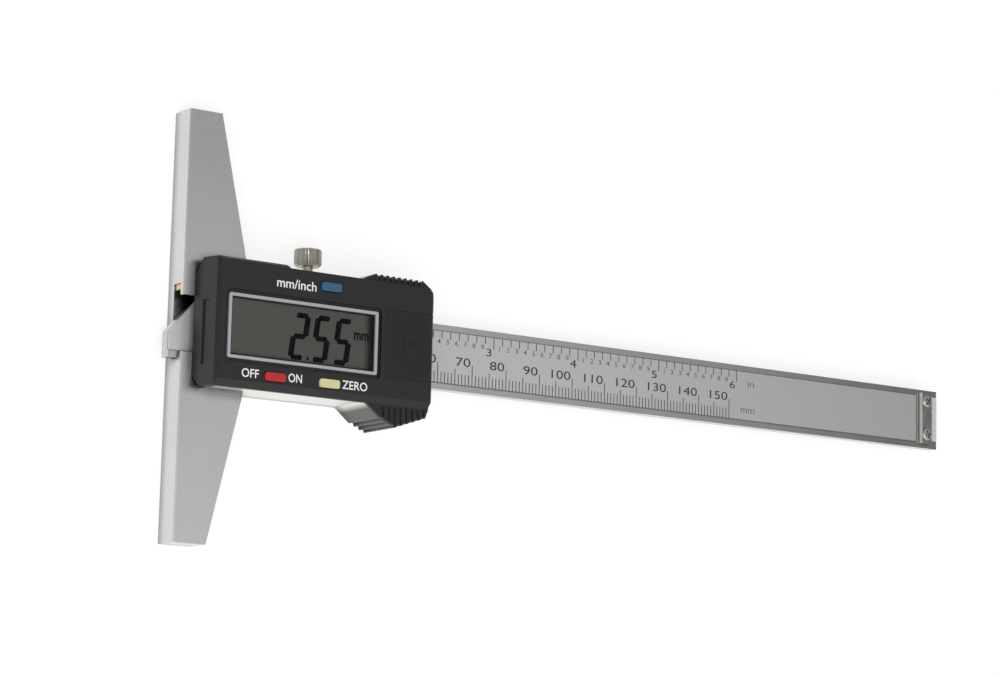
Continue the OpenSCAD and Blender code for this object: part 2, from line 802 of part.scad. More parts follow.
module beam() {
    color("silver")
        difference() {
            translate([0, 0, beam_back_z])
                linear_extrude(beam_t)
                    beam_plan(beam_w / 2, tail_x);
            block([tip_x - past, -strip_w / 2, strip_back_z], [strip_end_x, strip_w / 2, beam_front_z + past]);
            for (side = [-1, 1])
                translate([plate_screw_x, plate_y + side * plate_screw_pitch / 2, beam_front_z - plate_screw_depth])
                    cylinder(d = plate_screw_d + 2 * screw_fit, h = plate_screw_depth + past);
        }
}

module stator_strip() {
    color("peru")
        translate([0, 0, strip_back_z])
            linear_extrude(stator_t)
                beam_plan(strip_w / 2 - 0.02, strip_end_x - 0.02);
}

module scale_film() {
    color("lightgray")
        translate([0, 0, strip_back_z + stator_t])
            linear_extrude(film_t)
                beam_plan(strip_w / 2 - 0.02, strip_end_x - 0.02);
}

// The stop plate, its leading edge rolled over
module end_plate() {
    color("whitesmoke")
        difference() {
            along_y(plate_y - plate_w / 2, plate_y + plate_w / 2)
                union() {
                    translate([plate_x + plate_t * 0.8, beam_front_z])
                        square([plate_len - plate_t * 0.8, plate_t]);
                    intersection() {
                        translate([plate_x + plate_t * 0.8, beam_front_z])
                            circle(plate_t * 0.8);
                        translate([plate_x, beam_front_z])
                            square([plate_t, plate_t]);
                    }
                }
            for (side = [-1, 1])
                translate([plate_screw_x, plate_y + side * plate_screw_pitch / 2, 0])
                    cylinder(d = plate_screw_d + 2 * screw_fit, h = shell_top);
        }
}

module end_plate_screws() {
    head_z = beam_front_z + plate_t;
    color("silver")
        for (side = [-1, 1])
            translate([plate_screw_x, plate_y + side * plate_screw_pitch / 2, 0])
                difference() {
                    union() {
                        translate([0, 0, beam_front_z - plate_screw_depth + screw_fit])
                            cylinder(d = plate_screw_d, h = head_z - beam_front_z + plate_screw_depth - screw_fit);
                        translate([0, 0, head_z])
                            cylinder(d1 = plate_head_d, d2 = plate_head_d * 0.75, h = plate_head_h);
                    }
                    for (turn = [20, 110])
                        rotate(turn)
                            block([-plate_head_d * 0.32, -0.14, head_z + plate_head_h * 0.3],
                                [plate_head_d * 0.32, 0.14, head_z + past]);
                }
}

base_bar();
slider_frame();
gib_strip();
gib_screws();
base_screws();
housing_shell();
housing_screws();
bezel_frame();
lcd_window();
lcd_glass();
zebra_strips();
circuit_board();
button_switches();
button_cell();
contact_negative();
contact_positive();
battery_cover();
button_mm_inch();
button_on_off();
button_zero();
lock_screw();
lock_pad();
beam();
stator_strip();
scale_film();
end_plate();
end_plate_screws();
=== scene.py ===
"""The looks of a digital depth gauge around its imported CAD: finishes, printed scale, labels, display."""
import math

import bmesh
import bpy
from mathutils import Matrix, Vector


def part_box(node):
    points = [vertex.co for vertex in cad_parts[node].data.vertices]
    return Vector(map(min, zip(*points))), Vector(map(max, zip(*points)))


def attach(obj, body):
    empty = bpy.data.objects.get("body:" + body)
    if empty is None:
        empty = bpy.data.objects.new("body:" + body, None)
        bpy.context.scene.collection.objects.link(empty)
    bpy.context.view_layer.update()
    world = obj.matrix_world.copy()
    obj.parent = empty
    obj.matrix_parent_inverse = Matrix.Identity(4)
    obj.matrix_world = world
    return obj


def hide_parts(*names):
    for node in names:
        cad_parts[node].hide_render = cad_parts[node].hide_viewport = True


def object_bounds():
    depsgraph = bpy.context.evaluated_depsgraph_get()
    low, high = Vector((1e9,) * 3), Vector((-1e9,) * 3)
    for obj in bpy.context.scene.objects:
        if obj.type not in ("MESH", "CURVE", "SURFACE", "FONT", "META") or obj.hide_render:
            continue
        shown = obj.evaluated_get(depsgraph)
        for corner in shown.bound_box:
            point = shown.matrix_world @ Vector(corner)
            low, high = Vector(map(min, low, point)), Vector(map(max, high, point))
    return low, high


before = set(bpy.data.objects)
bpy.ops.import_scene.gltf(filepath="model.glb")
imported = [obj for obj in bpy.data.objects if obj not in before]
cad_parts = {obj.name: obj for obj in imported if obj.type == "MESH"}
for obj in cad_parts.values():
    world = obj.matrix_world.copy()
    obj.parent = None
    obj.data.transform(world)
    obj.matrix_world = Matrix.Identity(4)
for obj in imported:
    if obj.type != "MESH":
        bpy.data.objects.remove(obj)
cad_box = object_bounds()

MM = 0.001

# ---------------------------------------------------------------- colours

STEEL_GROUND = "#D0D0CF"
STEEL_SATIN = "#E2E0DB"
STEEL_BEAM = "#C6C5C3"
STEEL_STAMPED = "#C6C5C2"
STEEL_BLASTED = "#E4E8E8"
STEEL_ZINC = "#A9A9A6"
BRONZE = "#E3C49B"
BRONZE_GILT = "#CDA24C"
BRASS = "#C9A15B"
NICKEL = "#BCB7AE"
CELL_NICKEL = "#D2D2CF"
ABS_BLACK = "#17171A"
COVER_BLACK = "#101012"
# The leaning wall's plastic, made blacker as painted shade
POLISHED_SHADED_BLACK = "#050506"
NYLON_GREY = "#9A9A98"
RUBBER_BLACK = "#1A1A1A"
SILVER_PAINT = "#A3A5A8"
FILM_SILVER = "#D6D6D5"
INK_DARK = "#2B2B2D"
INK_GREY = "#656567"
INK_BLACK = "#0B0B0C"
INK_WHITE = "#EFEFEC"
POLARISER = "#64645F"
# The segments' dye, also the dark of the painted shade at the display's far edge
SEGMENT_DYE_AND_SHADE = "#080714"
ACRYLIC_GLOSS = "#8C8C8C"
BUTTON_BLUE = "#2E5B7A"
BUTTON_RED = "#B22320"
BUTTON_YELLOW = "#CFCC97"
SOLDER_MASK = "#12512E"
LAMINATE = "#A89884"
# The dark that painted shade gives to corners and grooves
CORNER_SHADE_DARK = "#121212"
STUDIO_PAPER = "#949494"
STUDIO_WHITE = "#FFFFFF"


def srgb(code):
    """An sRGB hex code as linear RGBA."""
    parts = [int(code[i:i + 2], 16) / 255 for i in (1, 3, 5)]
    return [p / 12.92 if p <= 0.04045 else ((p + 0.055) / 1.055) ** 2.4 for p in parts] + [1.0]


# ---------------------------------------------------------------- materials

# Pattern steps in a millimetre, along x, y and z
HANDLING_STEP = (0.05, 0.05, 0.05)
TARNISH_STEP = (0.6, 0.6, 0.6)
SPECK_STEP = (5, 5, 5)
FLAKE_STEP = (4, 4, 4)
CELL_STEP = (2.5, 2.5, 2.5)
# A brushed face's colour follows its cloud of handling by the first share, its scratches by the second
HANDLING_SHARE = 0.6
SCRATCH_SHARE = 0.4
# How open a place is, from 0 to 1: below the first it has all of its painted shade, above the second none
CORNER_SHADE_FROM = 0.3
CORNER_SHADE_TO = 0.8
# The darker flank: millimetres over which it begins, and how dark it is beside the brushed face
FLANK_BLEND = 1.2
FLANK_DARK_SHARE = 0.2
# The display's painted shade at its far edge, in millimetres along the beam
EDGE_SHADE_START = 44.9
EDGE_SHADE_END = 46.5


def add(tree, kind, settings=None, **links):
    """Adds a node: settings go to its properties or sockets, links come from other nodes' outputs."""
    node = tree.nodes.new(kind)
    for name, value in (settings or {}).items():
        if isinstance(name, str) and hasattr(node, name):
            setattr(node, name, value)
        else:
            node.inputs[name].default_value = value
    for name, output in links.items():
        socket = node.inputs[int(name[1:])] if name[0] == "_" else node.inputs[name.replace("_", " ")]
        tree.links.new(output, socket)
    return node


def new_material(name):
    """An empty material with its shader and a position in the object's millimetres."""
    material = bpy.data.materials.new(name)
    material.use_nodes = True
    tree = material.node_tree
    shader = tree.nodes["Principled BSDF"]
    place = add(tree, "ShaderNodeTexCoord").outputs["Object"]
    return material, tree, shader, place


def stretched(tree, place, per_mm):
    """The position scaled to so many pattern steps per millimetre along x, y and z."""
    scale = [step / MM for step in per_mm]
    return add(tree, "ShaderNodeMapping", {"Scale": scale}, Vector=place).outputs["Vector"]


def spread(tree, factor, low, high):
    """A factor from 0 to 1 turned into a number from low to high."""
    return add(tree, "ShaderNodeMapRange", {"To Min": low, "To Max": high}, Value=factor).outputs["Result"]


def tinted(tree, factor, dark, light):
    """A colour between two hex codes by a factor."""
    mix = add(tree, "ShaderNodeMix", {"data_type": "RGBA", 6: srgb(dark), 7: srgb(light)}, _0=factor)
    return mix.outputs[2]


def shade(code, share):
    """A hex code made darker or lighter by a share of its sRGB values."""
    return "#" + "".join("%02X" % min(255, round(int(code[i:i + 2], 16) * share)) for i in (1, 3, 5))


def rounded(tree, radius):
    """Edges that catch the light as if broken by a radius in millimetres."""
    return add(tree, "ShaderNodeBevel", {"samples": 4, "Radius": radius * MM}).outputs["Normal"]


def bumped(tree, height, depth, normal=None):
    """A bump of so many millimetres from a height between 0 and 1."""
    bump = add(tree, "ShaderNodeBump", {"Strength": 1.0, "Distance": depth * MM}, Height=height)
    if normal:
        tree.links.new(normal, bump.inputs["Normal"])
    return bump.outputs["Normal"]


def grimy(tree, colour, reach, share):
    """A colour darkened in corners and grooves no wider than reach millimetres: painted shade, deepest where
    the place is most enclosed.
    """
    corner = add(tree, "ShaderNodeAmbientOcclusion", {"samples": 16, "Distance": reach * MM}).outputs["AO"]
    unshaded = add(tree, "ShaderNodeMapRange",
                {"From Min": CORNER_SHADE_FROM, "From Max": CORNER_SHADE_TO, "To Min": 1 - share},
                Value=corner).outputs["Result"]
    mix = add(tree, "ShaderNodeMix", {"data_type": "RGBA", 6: srgb(CORNER_SHADE_DARK)}, _0=unshaded, _7=colour)
    return mix.outputs[2]


def brushed_metal(name, code, roughness, per_mm, edge=0.15, contrast=0.06, depth=0.002, corner_shade=(6, 0.94),
                  dark_flank=None):
    """Ground or brushed metal: fine scratches in one direction, a soft cloud of handling over them.
    Its last argument gives the millimetres from the centre line past which the colour darkens, and how dark
    it gets."""
    material, tree, shader, place = new_material(name)
    scratches = add(tree, "ShaderNodeTexNoise", {"Scale": 1.0, "Detail": 3.0, "Roughness": 0.6},
                    Vector=stretched(tree, place, per_mm)).outputs["Fac"]
    handling = add(tree, "ShaderNodeTexNoise", {"Scale": 1.0, "Detail": 2.0},
                   Vector=stretched(tree, place, HANDLING_STEP)).outputs["Fac"]
    both = add(tree, "ShaderNodeMath", {"operation": "MULTIPLY_ADD", 1: HANDLING_SHARE}, _0=handling,
               _2=add(tree, "ShaderNodeMath", {"operation": "MULTIPLY", 1: SCRATCH_SHARE},
                      _0=scratches).outputs[0])
    colour = tinted(tree, both.outputs[0], shade(code, 1 - contrast), shade(code, 1 + contrast))
    # The colour darkens towards the flank, past a distance from the centre line
    if dark_flank:
        start, darkest = dark_flank
        across = add(tree, "ShaderNodeSeparateXYZ", None, Vector=place).outputs["Y"]
        out = add(tree, "ShaderNodeMath", {"operation": "ABSOLUTE"}, _0=across).outputs[0]
        flank_dark = add(tree, "ShaderNodeMapRange",
                   {"From Min": start * MM, "From Max": (start + FLANK_BLEND) * MM, "To Max": darkest},
                   Value=out).outputs["Result"]
        mix = add(tree, "ShaderNodeMix", {"data_type": "RGBA", 7: srgb(shade(code, FLANK_DARK_SHARE))},
                  _0=flank_dark, _6=colour)
        colour = mix.outputs[2]
    # Painted shade darkens the colour in corners and grooves
    tree.links.new(grimy(tree, colour, *corner_shade), shader.inputs["Base Color"])
    shader.inputs["Metallic"].default_value = 1.0
    tree.links.new(spread(tree, scratches, roughness - 0.06, roughness + 0.08), shader.inputs["Roughness"])
    tree.links.new(bumped(tree, scratches, depth, rounded(tree, edge)), shader.inputs["Normal"])
    return material


def plain_metal(name, code, roughness, edge=0.08, corner_shade=(0.5, 0.85)):
    """Turned, plated or stamped metal: bright, with faint tarnish in patches."""
    material, tree, shader, place = new_material(name)
    patches = add(tree, "ShaderNodeTexNoise", {"Scale": 1.0, "Detail": 4.0},
                  Vector=stretched(tree, place, TARNISH_STEP)).outputs["Fac"]
    colour = tinted(tree, patches, shade(code, 0.9), shade(code, 1.06))
    # Painted shade darkens the colour in corners and grooves
    tree.links.new(grimy(tree, colour, *corner_shade), shader.inputs["Base Color"])
    shader.inputs["Metallic"].default_value = 1.0
    tree.links.new(spread(tree, patches, roughness - 0.05, roughness + 0.08), shader.inputs["Roughness"])
    tree.links.new(rounded(tree, edge), shader.inputs["Normal"])
    return material


def moulded_plastic(name, code, roughness, grain_mm, depth, edge=0.2, contrast=0.12, corner_shade=(0.4, 0.3)):
    """Moulded plastic: the mould's own grain, and colour that varies with it a little."""
    material, tree, shader, place = new_material(name)
    step = 1 / grain_mm
    grain = add(tree, "ShaderNodeTexNoise", {"Scale": 1.0, "Detail": 2.0, "Roughness": 0.5},
                Vector=stretched(tree, place, (step, step, step))).outputs["Fac"]
    colour = tinted(tree, grain, shade(code, 1 - contrast), shade(code, 1 + contrast))
    # Painted shade darkens the colour in corners and grooves
    tree.links.new(grimy(tree, colour, *corner_shade), shader.inputs["Base Color"])
    shader.inputs["IOR"].default_value = 1.53
    tree.links.new(spread(tree, grain, roughness - 0.05, roughness + 0.05), shader.inputs["Roughness"])
    tree.links.new(bumped(tree, grain, depth, rounded(tree, edge)), shader.inputs["Normal"])
    return material


def printed_ink(name, code, roughness=0.5, ior=1.5):
    """Screen-printed ink: nearly flat colour, thinner and greyer in specks."""
    material, tree, shader, place = new_material(name)
    specks = add(tree, "ShaderNodeTexNoise", {"Scale": 1.0, "Detail": 2.0},
                 Vector=stretched(tree, place, SPECK_STEP)).outputs["Fac"]
    tree.links.new(tinted(tree, specks, shade(code, 0.92), shade(code, 1.04)), shader.inputs["Base Color"])
    shader.inputs["Roughness"].default_value = roughness
    shader.inputs["IOR"].default_value = ior
    return material


def silver_film(name):
    """Printed polycarbonate film: silver ink with a fine sparkle, seen through the film's half-gloss face."""
    material, tree, shader, place = new_material(name)
    flakes = add(tree, "ShaderNodeTexNoise", {"Scale": 1.0, "Detail": 2.0},
                 Vector=stretched(tree, place, FLAKE_STEP)).outputs["Fac"]
    tree.links.new(tinted(tree, flakes, shade(FILM_SILVER, 0.95), shade(FILM_SILVER, 1.05)),
                   shader.inputs["Base Color"])
    shader.inputs["Metallic"].default_value = 0.72
    shader.inputs["Roughness"].default_value = 0.3
    shader.inputs["IOR"].default_value = 1.58
    return material


def clear_acrylic(name):
    """Moulded clear acrylic: the display shows through it, and its face gives a thin reflection."""
    material, tree, _, _ = new_material(name)
    gloss = add(tree, "ShaderNodeBsdfGlossy", {"Roughness": 0.06, "Color": srgb(ACRYLIC_GLOSS)})
    clear = add(tree, "ShaderNodeBsdfTransparent")
    edge_on = add(tree, "ShaderNodeFresnel", {"IOR": 1.49})
    mix = add(tree, "ShaderNodeMixShader", None,
              Fac=edge_on.outputs["Fac"], _1=clear.outputs[0], _2=gloss.outputs[0])
    tree.links.new(mix.outputs[0], tree.nodes["Material Output"].inputs["Surface"])
    return material


def lcd_polariser(name):
    """Polariser film over the display: grey-green, in a fine cell pattern, with painted shade darkening its
    far edge.
    """
    material, tree, shader, place = new_material(name)
    cells = add(tree, "ShaderNodeTexNoise", {"Scale": 1.0, "Detail": 3.0},
                Vector=stretched(tree, place, CELL_STEP)).outputs["Fac"]
    colour = tinted(tree, cells, shade(POLARISER, 0.95), shade(POLARISER, 1.05))
    along = add(tree, "ShaderNodeSeparateXYZ", None, Vector=place).outputs["X"]
    edge_shade = add(tree, "ShaderNodeMapRange", {"From Min": EDGE_SHADE_START * MM, "From Max": EDGE_SHADE_END * MM},
               Value=along).outputs["Result"]
    # Painted shade: the far edge takes the segments' dark colour
    edge_shaded = add(tree, "ShaderNodeMix", {"data_type": "RGBA", 7: srgb(SEGMENT_DYE_AND_SHADE)}, _0=edge_shade, _6=colour)
    tree.links.new(edge_shaded.outputs[2], shader.inputs["Base Color"])
    shader.inputs["Roughness"].default_value = 0.45
    shader.inputs["IOR"].default_value = 1.5
    return material


# The steels keep the default painted shade, up to 6 mm deep, which blackens the base's slot
# Ground tool steel: faint lines square to the base's length, really 0.1 mm apart, drawn at 0.4 mm to show
ground_steel = brushed_metal("tool_steel_ground", STEEL_GROUND, 0.27, (0.25, 2.4, 0.25), contrast=0.05,
                             depth=0.0003)
# Satin stainless steel, brushed along the beam: long soft highlights, and a colour that darkens on the hook's
# flank.
# Its lines are really under 0.1 mm apart, and are drawn at 0.33 mm to show
satin_steel = brushed_metal("stainless_satin", STEEL_SATIN, 0.38, (0.2, 3.0, 3.0), dark_flank=(14.35, 0.85))
# Ground stainless steel, lines along the beam drawn at 0.25 mm: darker and sharper than the satin slider
beam_steel = brushed_metal("stainless_ground_beam", STEEL_BEAM, 0.22, (0.12, 4.0, 4.0))
# Stamped stainless sheet: a smooth face that mirrors the room, and a rolled edge that shines
stamped_steel = plain_metal("stainless_stamped", STEEL_STAMPED, 0.22, edge=0.15)
# Bead-blasted stainless sheet: pale and even, without a highlight
blasted_steel = plain_metal("stainless_bead_blasted", STEEL_BLASTED, 0.75)
# Milled bronze and turned brass: warm, with a wide soft gleam
gib_bronze = plain_metal("gib_bronze_milled", BRONZE, 0.4)
brass_turned = plain_metal("brass_turned", BRASS, 0.35)
# Nickel plate over a knurl: bright ridges, with painted shade darkening the grooves between them
nickel_plate = plain_metal("nickel_plate_knurled", NICKEL, 0.3)
# The stop screws' cross slots are darkened by painted shade, which makes them readable at this size
nickel_shaded_slots = plain_metal("nickel_plate_shaded_slots", NICKEL, 0.42, corner_shade=(0.5, 0.97))
# Zinc plate on turned screws: greyer than nickel, with a soft gleam
screw_steel = plain_metal("screw_steel_zinc", STEEL_ZINC, 0.35)
# Gilt phosphor bronze springs and the cell's drawn nickel can: small bright pieces inside the housing
spring_bronze = plain_metal("phosphor_bronze_gilt", BRONZE_GILT, 0.3)
cell_nickel = plain_metal("cell_can_nickel", CELL_NICKEL, 0.25)
# Black ABS, spark-eroded mould: grain about 0.15 mm, a dull sheen, and painted shade in its recesses, deepest
# round the bezel
black_abs = moulded_plastic("abs_black_spark_grain", ABS_BLACK, 0.42, 0.15, 0.006, corner_shade=(1.5, 0.8))
# The same plastic on the cover, darker and duller, with painted shade making the grooves between its ribs
# black
cover_abs = moulded_plastic("abs_black_cover", COVER_BLACK, 0.5, 0.15, 0.006, edge=0.12, corner_shade=(0.8, 0.9))
# The leaning wall's part of the mould is polished, so it shows long reflections; its blacker colour is
# painted shade
polished_shaded_abs = moulded_plastic("abs_black_polished_shaded", POLISHED_SHADED_BLACK, 0.28, 1.5, 0.0005, edge=0.35)
# Silver lacquer on ABS: an even satin grey
bezel_paint = moulded_plastic("abs_silver_paint", SILVER_PAINT, 0.35, 0.2, 0.002, edge=0.1, contrast=0.03)
# Coloured ABS from a polished mould: even colour, and a soft gleam along the buttons' rims
BUTTON_FINISH = {"roughness": 0.3, "grain_mm": 0.4, "depth": 0.003, "edge": 0.25, "contrast": 0.05}
blue_button = moulded_plastic("abs_blue_polished", BUTTON_BLUE, **BUTTON_FINISH)
red_button = moulded_plastic("abs_red_polished", BUTTON_RED, **BUTTON_FINISH)
yellow_button = moulded_plastic("abs_yellow_polished", BUTTON_YELLOW, **BUTTON_FINISH)
# Solder mask over glass laminate, and the bare laminate under the scale: half-gloss, a little uneven
board_fr4 = moulded_plastic("fr4_solder_mask", SOLDER_MASK, 0.35, 0.5, 0.004)
laminate = moulded_plastic("glass_laminate", LAMINATE, 0.5, 0.3, 0.004)
# Carbon-filled silicone strips and nylon switch bodies: matt and plain
contact_rubber = moulded_plastic("silicone_carbon_strip", RUBBER_BLACK, 0.7, 0.3, 0.004)
switch_body = moulded_plastic("switch_nylon", NYLON_GREY, 0.5, 0.3, 0.004)
# Silver polycarbonate film: a flat pale field that takes the room's tone
film_silver = silver_film("polycarbonate_film_silver")
# Screen-printed inks: dark grey, a thinner grey for small marks, and white on the housing
ink_dark = printed_ink("ink_dark_grey", INK_DARK)
ink_faint = printed_ink("ink_grey", INK_GREY)
ink_white = printed_ink("ink_white", INK_WHITE, 0.45)
# Black ink on black plastic: it shows by its gleam alone
ink_black_gloss = printed_ink("ink_black_on_black", INK_BLACK, 0.3)
# The dye lies inside the display glass, in optical contact, so its own face gives almost no reflection
segment_dye = printed_ink("liquid_crystal_dark", SEGMENT_DYE_AND_SHADE, 0.4, 1.06)
# Polariser film laid on the glass: a matt grey-green ground behind the clear window's thin reflection
polariser = lcd_polariser("lcd_polariser_film")
acrylic = clear_acrylic("acrylic_clear_moulded")

NODE_FINISH = {
    "base_bar": ground_steel, "slider_frame": satin_steel, "gib_strip": gib_bronze,
    "gib_screws": screw_steel, "base_screws": screw_steel, "housing_shell": black_abs,
    "housing_screws": screw_steel, "bezel_frame": bezel_paint, "lcd_window": acrylic,
    "lcd_glass": polariser, "zebra_strips": contact_rubber, "circuit_board": board_fr4,
    "button_switches": switch_body, "button_cell": cell_nickel, "contact_negative": spring_bronze,
    "contact_positive": spring_bronze, "battery_cover": cover_abs, "button_mm_inch": blue_button,
    "button_on_off": red_button, "button_zero": yellow_button, "lock_screw": nickel_plate,
    "lock_pad": brass_turned, "beam": beam_steel, "stator_strip": laminate,
    "scale_film": film_silver, "end_plate": stamped_steel, "end_plate_screws": nickel_shaded_slots,
}
for node, finish in NODE_FINISH.items():
    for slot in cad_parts[node].material_slots:
        slot.material = finish


# ---------------------------------------------------------------- printed and lettered pieces

# The font's capitals stand this share of its size
CAP_HEIGHT = 0.69
LETTER_T = 0.004
LETTER_LIFT = 0.005


def piece(name, mesh, body, material):
    """Links a mesh as a piece that rides on a body and has a finish."""
    mesh.materials.clear()
    mesh.materials.append(material)
    obj = bpy.data.objects.new(name, mesh)
    bpy.context.collection.objects.link(obj)
    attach(obj, body)
    return obj


def print_of(name, outlines, height, thickness, body, material):
    """A print: flat outlines, each a list of x, y in millimetres, raised off height by its thickness."""
    bm = bmesh.new()
    for outline in outlines:
        verts = [bm.verts.new((x * MM, y * MM, height * MM)) for x, y in outline]
        face = bm.faces.new(verts)
        if face.normal.z < 0:
            face.normal_flip()
        side = bmesh.ops.extrude_face_region(bm, geom=[face])
        moved = [v for v in side["geom"] if isinstance(v, bmesh.types.BMVert)]
        bmesh.ops.translate(bm, verts=moved, vec=(0, 0, thickness * MM))
    bm.normal_update()
    bmesh.ops.recalc_face_normals(bm, faces=bm.faces)
    mesh = bpy.data.meshes.new(name)
    bm.to_mesh(mesh)
    bm.free()
    return piece(name, mesh, body, material)


def letters(text, x, y, height, align="CENTER", squeeze=1.0, weight=0.0):
    """A line of text as a mesh: x is its centre or right end, y its baseline, in millimetres."""
    font = bpy.data.curves.new("letters", "FONT")
    font.body = text
    font.align_x = align
    font.size = height / CAP_HEIGHT * MM
    font.offset = weight * MM
    font.extrude = LETTER_T * MM
    font.resolution_u = 4
    holder = bpy.data.objects.new("letters", font)
    mesh = bpy.data.meshes.new_from_object(holder)
    mesh.transform(Matrix.Translation((x * MM, y * MM, 0)) @ Matrix.Diagonal((squeeze, 1, 1, 1)))
    bpy.data.objects.remove(holder)
    bpy.data.curves.remove(font)
    return mesh


def words(rows, weight=0.0):
    """Lines of text from rows of words, middle, baseline, height and stretch."""
    return [letters(text, x, y, height, squeeze=stretch, weight=weight)
            for text, x, y, height, stretch in rows]


def lettering(name, lines, height_z, body, material):
    """Several lines of letters joined into one print lying on a face at height_z millimetres."""
    bm = bmesh.new()
    for mesh in lines:
        bm.from_mesh(mesh)
        bpy.data.meshes.remove(mesh)
    bmesh.ops.translate(bm, verts=bm.verts, vec=(0, 0, (height_z + LETTER_LIFT) * MM))
    joined = bpy.data.meshes.new(name)
    bm.to_mesh(joined)
    bm.free()
    return piece(name, joined, body, material)


# ---------------------------------------------------------------- shaped pieces in place of plainer nodes

# How far a cutter reaches past what it cuts
CUT_MARGIN = 1
LEAST_CORNER = 0.05


def in_mm(box):
    """A box's two corners in millimetres."""
    return [[c / MM for c in corner] for corner in box]


def bar(x_low, x_high, y_low, y_high):
    """The outline of an upright rectangle."""
    return [(x_low, y_low), (x_high, y_low), (x_high, y_high), (x_low, y_high)]


def closed_mesh(bm, name):
    """A mesh from a finished bmesh, its faces turned outwards."""
    bmesh.ops.recalc_face_normals(bm, faces=bm.faces)
    mesh = bpy.data.meshes.new(name)
    bm.to_mesh(mesh)
    bm.free()
    return mesh


def wall(bm, low, high):
    """Adds the faces between two rings of corners."""
    for i in range(len(low)):
        j = (i + 1) % len(low)
        bm.faces.new((low[i], low[j], high[j], high[i]))


def solid_between(bm, *outlines):
    """Adds a closed solid between two outlines, each a list of x, y, z in millimetres."""
    rings = [[bm.verts.new((x * MM, y * MM, z * MM)) for x, y, z in outline] for outline in outlines]
    for ring in rings:
        bm.faces.new(ring)
    wall(bm, *rings)


def upright(bm, outline, z_low, z_high):
    """Adds a solid over an outline of x and y, between two heights."""
    solid_between(bm, *[[(x, y, z) for x, y in outline] for z in (z_low, z_high)])


def along_y(bm, outline, y_low, y_high):
    """Adds a solid over an outline of x and z, between two places across the beam."""
    solid_between(bm, *[[(x, y, z) for x, z in outline] for y in (y_low, y_high)])


def prism(outline, z_low, z_high):
    """An upright prism over an outline in millimetres, as a mesh."""
    bm = bmesh.new()
    upright(bm, outline, z_low, z_high)
    return closed_mesh(bm, "prism")


def turned(bm, centre, profile, sides=32):
    """Adds a turned solid about an upright line, from its profile of radius and height."""
    rings = []
    for radius, z in profile:
        rings.append([bm.verts.new(((centre[0] + radius * math.cos(math.tau * i / sides)) * MM,
                                    (centre[1] + radius * math.sin(math.tau * i / sides)) * MM, z * MM))
                      for i in range(sides)])
    for low, high in zip(rings, rings[1:]):
        wall(bm, low, high)
    bm.faces.new(rings[0])
    bm.faces.new(rings[-1])


def round_loop(bm, half, radius, centre, z, steps=5):
    """The corners of a rounded rectangle at a height, in millimetres."""
    loop = []
    for quarter, (side_x, side_y) in enumerate(((1, 1), (-1, 1), (-1, -1), (1, -1))):
        for i in range(steps + 1):
            angle = math.radians(90 * (quarter + i / steps))
            x = centre[0] + side_x * (half[0] - radius) + radius * math.cos(angle)
            y = centre[1] + side_y * (half[1] - radius) + radius * math.sin(angle)
            loop.append(bm.verts.new((x * MM, y * MM, z * MM)))
    return loop


def framed(name, half, centre, corner, section):
    """A frame: its section, points of inset and height, is carried round a rounded rectangle."""
    bm = bmesh.new()
    loops = [round_loop(bm, (half[0] - inset, half[1] - inset), max(corner - inset, LEAST_CORNER), centre, z)
             for inset, z in section]
    for low, high in zip(loops, loops[1:] + loops[:1]):
        wall(bm, low, high)
    return closed_mesh(bm, name)


def cut_from(mesh, cutters):
    """A copy of a mesh with the cutters' meshes taken away."""
    obj = bpy.data.objects.new("cut", mesh.copy())
    bpy.context.collection.objects.link(obj)
    tools = []
    for cutter in cutters:
        tool = bpy.data.objects.new("cutter", cutter)
        bpy.context.collection.objects.link(tool)
        cut = obj.modifiers.new("cut", "BOOLEAN")
        cut.operation, cut.solver, cut.object = "DIFFERENCE", "EXACT", tool
        tools.append(tool)
    graph = bpy.context.evaluated_depsgraph_get()
    result = bpy.data.meshes.new_from_object(obj.evaluated_get(graph))
    for used in [obj] + tools:
        bpy.data.objects.remove(used)
    return result


def corner_cutter(end_x, side_y, radius, z_low, z_high):
    """What lies outside a round far corner, between two heights."""
    way = 1 if side_y > 0 else -1
    centre_x, centre_y = end_x - radius, side_y - way * radius
    arc = [(centre_x + radius * math.sin(a), centre_y + way * radius * math.cos(a))
           for a in map(math.radians, range(0, 91, 9))]
    past_x, past_y = end_x + CUT_MARGIN, side_y + way * CUT_MARGIN
    return prism(arc + [(past_x, centre_y), (past_x, past_y), (centre_x, past_y)], z_low, z_high)


# The bezel's section: rounded outside, a flat top, and a wall that falls to the display
bezel_low, bezel_high = in_mm(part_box("bezel_frame"))
BEZEL_TOP = bezel_high[2]
BEZEL_INNER = 0.76
BEZEL_CORNER = 0.5
BEZEL_SECTION = [(0, bezel_low[2]), (0, BEZEL_TOP - 0.14), (0.05, BEZEL_TOP - 0.04), (0.14, BEZEL_TOP),
                 (0.62, BEZEL_TOP), (0.7, BEZEL_TOP - 0.05), (BEZEL_INNER, BEZEL_TOP - 0.3),
                 (BEZEL_INNER, bezel_low[2])]
bezel_half = [(high - low) / 2 for low, high in zip(bezel_low, bezel_high)]
bezel_centre = [(high + low) / 2 for low, high in zip(bezel_low, bezel_high)]
bezel = piece("bezel_ring", framed("bezel_ring", bezel_half, bezel_centre, BEZEL_CORNER, BEZEL_SECTION),
              "slider", bezel_paint)
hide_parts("bezel_frame")

# The housing with its far corners rounded as the real one's
housing_high = in_mm(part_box("housing_shell"))[1]
HOUSING_END = housing_high[0]
HOUSING_SIDES = (-14.5, 14.45)
CORNER_R = 2.7
CAP_TOP = 13.92
# The leaning wall's faces look back along the beam by more than this, and end before this place
LEANING_NORMAL = -0.3
END_WALL_X = 8.0

